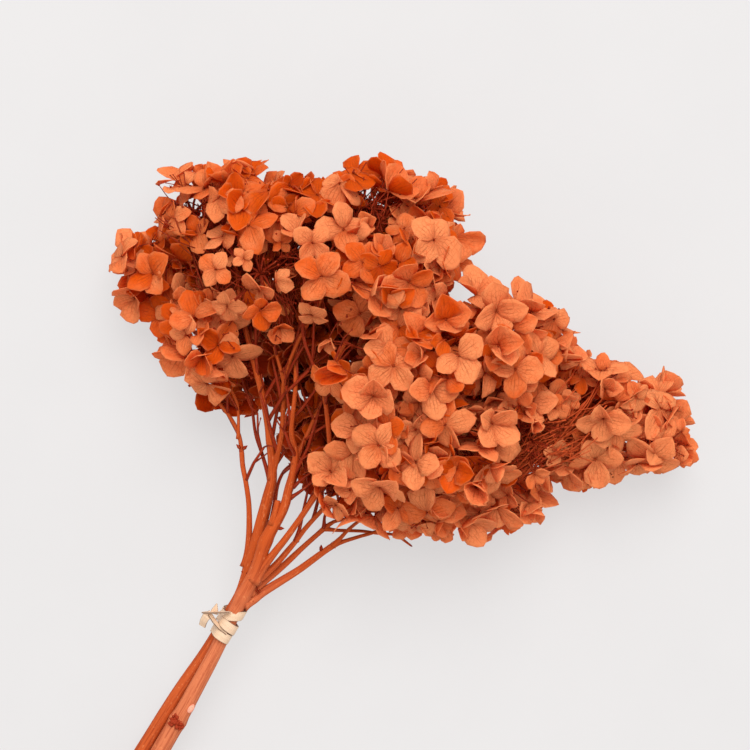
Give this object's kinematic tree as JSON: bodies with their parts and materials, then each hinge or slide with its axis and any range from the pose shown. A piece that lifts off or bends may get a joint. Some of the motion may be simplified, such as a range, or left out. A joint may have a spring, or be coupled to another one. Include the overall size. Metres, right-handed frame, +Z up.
{
  "type": "tied bunch of dried hydrangea",
  "caption": "Bunch of dried, orange-dyed hydrangea lying on its side: woody canes in a flat band, branching into one wide head of four-sepalled florets.",
  "frame": {"origin": "on the surface that the bunch lies on, under the middle of its bounding box", "axes": "+Z up; +Y along the canes, from their cut ends to the head; +X to the right as seen from above"},
  "size_m": [0.3062, 0.4426, 0.1174],
  "materials": {
    "bark": "matt dyed bark with fine lengthwise streaks",
    "petal": "soft matt, papery, thin enough to let some light through, with darker veins",
    "band": "matt tan band"
  },
  "bodies": {
    "root": {"cane_left": "bark", "cane_right": "bark", "tie_band": "band", "spray_middle": "petal", "spray_upper_middle": "petal", "spray_upper_right": "petal", "spray_lower_middle": "petal", "spray_middle_right": "petal", "spray_lower_inner": "petal", "spray_middle_inner": "petal", "spray_upper_left": "petal", "spray_crown_middle": "petal", "spray_crown_right": "petal", "spray_crown_left": "petal", "spray_left_front": "petal", "spray_crown_tip": "petal", "spray_left_top": "petal", "spray_lower_right": "petal", "spray_shoulder": "petal", "spray_front_middle": "petal", "spray_front_inner": "petal", "spray_right_top": "petal", "spray_right_tip": "petal", "spray_front_right": "petal", "spray_right_low": "petal", "spray_left_tip": "petal", "spray_under_left": "petal", "spray_under_crown_left": "petal", "spray_under_crown_right": "petal", "spray_under_middle": "petal", "spray_under_right": "petal", "spray_under_shoulder": "petal", "spray_under_front": "petal", "spray_under_heart": "petal", "spray_under_waist": "petal", "spray_under_throat": "petal"}
  },
  "joints": []
}
